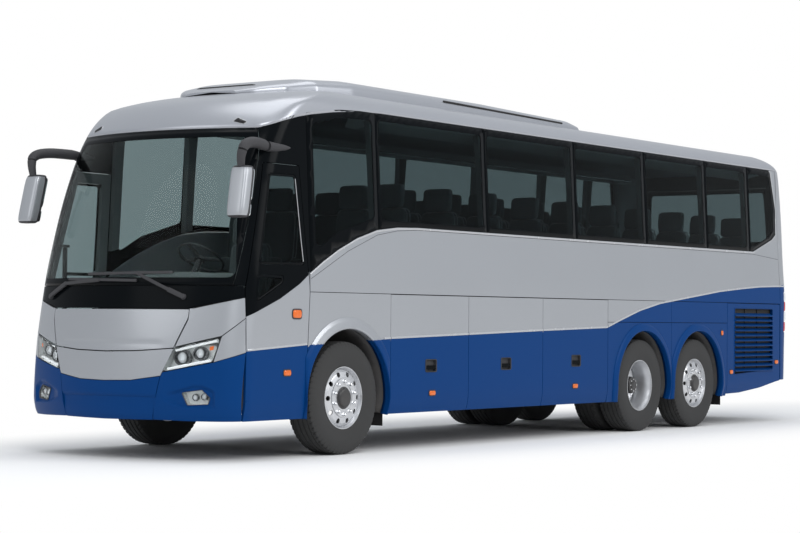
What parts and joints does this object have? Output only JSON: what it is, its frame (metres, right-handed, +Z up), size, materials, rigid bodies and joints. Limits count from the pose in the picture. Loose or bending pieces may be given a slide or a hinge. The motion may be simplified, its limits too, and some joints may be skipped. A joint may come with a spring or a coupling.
{
  "type": "three-axle touring coach bus",
  "caption": "Touring coach with raked screen, dark window band, roof pod, steered front wheels, twin drive wheels, tag axle, swinging doors and luggage lids.",
  "frame": {"origin": "on the floor under the middle of the overall box", "axes": "+Z up, the front faces -Y, +X is the left side of the coach"},
  "size_m": [2.68, 11.64, 3.56],
  "materials": {
    "body_paint": "silver-grey metallic paint above, blue below",
    "roof_silver": "silver-grey metallic paint",
    "lower_blue": "gloss blue paint",
    "clear_glass": "laminated glass, lightly tinted",
    "tinted_glass": "dark tinted glass with black edge band",
    "frame_black": "black chassis paint",
    "floor_grey": "grey painted floor and bay panels",
    "lamp_lens": "clear lamp lens",
    "lamp_red": "red and white tail lamp lenses",
    "black_plastic": "black grained plastic",
    "seat_fabric": "dark grey woven seat cloth",
    "trim_grey": "light grey cabin trim",
    "engine_iron": "cast iron",
    "black_rubber": "black rubber sheet",
    "tyre_rubber": "black tyre rubber",
    "rim_steel": "bright steel disc wheel"
  },
  "bodies": {
    "coach_body": {"chassis_rails": "frame_black", "cross_members": "frame_black", "dashboard": "black_plastic", "drive_axle": "frame_black", "driver_seat": "seat_fabric", "engine": "engine_iron", "entrance_floor": "floor_grey", "floor": "floor_grey", "front_axle": "frame_black", "front_lamps": "lamp_lens", "front_mask": "body_paint", "left_side": "body_paint", "luggage_racks": "trim_grey", "mirrors": "black_plastic", "mud_flaps": "black_rubber", "post_bracket": "frame_black", "rear_wall": "body_paint", "right_side": "body_paint", "roof": "roof_silver", "roof_pod": "roof_silver", "seat_backs": "seat_fabric", "seat_cushions": "seat_fabric", "side_windows": "tinted_glass", "tag_axle": "frame_black", "tail_lamps": "lamp_red", "windscreen": "clear_glass", "wipers": "black_plastic"},
    "knuckle_left": {"knuckle_left": "engine_iron"},
    "knuckle_right": {"knuckle_right": "engine_iron"},
    "wheel_front_left": {"tyre_front_left": "tyre_rubber", "rim_front_left": "rim_steel"},
    "wheels_drive_left": {"tyres_drive_left": "tyre_rubber", "rims_drive_left": "rim_steel"},
    "wheel_tag_left": {"tyre_tag_left": "tyre_rubber", "rim_tag_left": "rim_steel"},
    "wheel_front_right": {"tyre_front_right": "tyre_rubber", "rim_front_right": "rim_steel"},
    "wheels_drive_right": {"tyres_drive_right": "tyre_rubber", "rims_drive_right": "rim_steel"},
    "wheel_tag_right": {"tyre_tag_right": "tyre_rubber", "rim_tag_right": "rim_steel"},
    "driver_door": {"driver_door": "body_paint", "driver_door_glass": "tinted_glass"},
    "door_arm": {"door_arm": "frame_black"},
    "passenger_door": {"passenger_door": "body_paint", "passenger_door_glass": "tinted_glass"},
    "luggage_door_left_1": {"luggage_door_left_1": "body_paint"},
    "luggage_door_right_1": {"luggage_door_right_1": "body_paint"},
    "luggage_door_left_2": {"luggage_door_left_2": "body_paint"},
    "luggage_door_right_2": {"luggage_door_right_2": "body_paint"},
    "luggage_door_left_3": {"luggage_door_left_3": "body_paint"},
    "luggage_door_right_3": {"luggage_door_right_3": "body_paint"},
    "grille_door": {"grille_door": "lower_blue"},
    "service_door": {"service_door": "lower_blue"},
    "engine_lid": {"engine_lid": "lower_blue"},
    "front_flap": {"front_flap": "roof_silver"}
  },
  "joints": [
    {"name": "steer_left", "type": "hinge", "parent": "coach_body", "child": "knuckle_left", "pos_m": [0.85, -3.89, 0.522], "axis": [0, 0, 1], "range_deg": [-38, 38]},
    {"name": "steer_right", "type": "hinge", "parent": "coach_body", "child": "knuckle_right", "pos_m": [-0.85, -3.89, 0.522], "axis": [0, 0, 1], "range_deg": [-38, 38]},
    {"name": "spin_front_left", "type": "hinge", "parent": "knuckle_left", "child": "wheel_front_left", "pos_m": [1.071, -3.89, 0.522], "axis": [1, 0, 0], "continuous": true},
    {"name": "spin_drive_left", "type": "hinge", "parent": "coach_body", "child": "wheels_drive_left", "pos_m": [0.9035, 1.743, 0.522], "axis": [1, 0, 0], "continuous": true},
    {"name": "spin_tag_left", "type": "hinge", "parent": "coach_body", "child": "wheel_tag_left", "pos_m": [1.071, 3.084, 0.522], "axis": [1, 0, 0], "continuous": true},
    {"name": "spin_front_right", "type": "hinge", "parent": "knuckle_right", "child": "wheel_front_right", "pos_m": [-1.071, -3.89, 0.522], "axis": [1, 0, 0], "continuous": true},
    {"name": "spin_drive_right", "type": "hinge", "parent": "coach_body", "child": "wheels_drive_right", "pos_m": [-0.9035, 1.743, 0.522], "axis": [1, 0, 0], "continuous": true},
    {"name": "spin_tag_right", "type": "hinge", "parent": "coach_body", "child": "wheel_tag_right", "pos_m": [-1.071, 3.084, 0.522], "axis": [1, 0, 0], "continuous": true},
    {"name": "driver_door_hinge", "type": "hinge", "parent": "coach_body", "child": "driver_door", "pos_m": [1.25, -5.368, 1], "axis": [0, 0, -1], "range_deg": [0, 75]},
    {"name": "door_arm_swing", "type": "hinge", "parent": "coach_body", "child": "door_arm", "pos_m": [-1.09, -5.2, 1.5], "axis": [0, 0, 1], "range_deg": [0, 120]},
    {"name": "passenger_door_follow", "type": "hinge", "parent": "door_arm", "child": "passenger_door", "pos_m": [-1.09, -4.78, 1.5], "axis": [0, 0, 1], "range_deg": [-120, 0]},
    {"name": "luggage_hinge_left_1", "type": "hinge", "parent": "coach_body", "child": "luggage_door_left_1", "pos_m": [1.25, -2.55, 1.484], "axis": [0, -1, 0], "range_deg": [0, 85]},
    {"name": "luggage_hinge_right_1", "type": "hinge", "parent": "coach_body", "child": "luggage_door_right_1", "pos_m": [-1.25, -2.55, 1.484], "axis": [0, 1, 0], "range_deg": [0, 85]},
    {"name": "luggage_hinge_left_2", "type": "hinge", "parent": "coach_body", "child": "luggage_door_left_2", "pos_m": [1.25, -1.17, 1.484], "axis": [0, -1, 0], "range_deg": [0, 85]},
    {"name": "luggage_hinge_right_2", "type": "hinge", "parent": "coach_body", "child": "luggage_door_right_2", "pos_m": [-1.25, -1.17, 1.484], "axis": [0, 1, 0], "range_deg": [0, 85]},
    {"name": "luggage_hinge_left_3", "type": "hinge", "parent": "coach_body", "child": "luggage_door_left_3", "pos_m": [1.25, 0.23, 1.484], "axis": [0, -1, 0], "range_deg": [0, 85]},
    {"name": "luggage_hinge_right_3", "type": "hinge", "parent": "coach_body", "child": "luggage_door_right_3", "pos_m": [-1.25, 0.23, 1.484], "axis": [0, 1, 0], "range_deg": [0, 85]},
    {"name": "grille_door_hinge", "type": "hinge", "parent": "coach_body", "child": "grille_door", "pos_m": [1.25, 3.86, 1], "axis": [0, 0, -1], "range_deg": [0, 110]},
    {"name": "service_door_hinge", "type": "hinge", "parent": "coach_body", "child": "service_door", "pos_m": [-1.25, 3.86, 1], "axis": [0, 0, 1], "range_deg": [0, 110]},
    {"name": "engine_lid_hinge", "type": "hinge", "parent": "coach_body", "child": "engine_lid", "pos_m": [0, 5.82, 1.43], "axis": [1, 0, 0], "range_deg": [0, 75]},
    {"name": "front_flap_hinge", "type": "hinge", "parent": "coach_body", "child": "front_flap", "pos_m": [0, -5.736, 1.33], "axis": [-1, 0, 0], "range_deg": [0, 75]}
  ],
  "couplings": [
    {"joint": "steer_right", "follows": "steer_left", "ratio": 1},
    {"joint": "passenger_door_follow", "follows": "door_arm_swing", "ratio": -1}
  ]
}
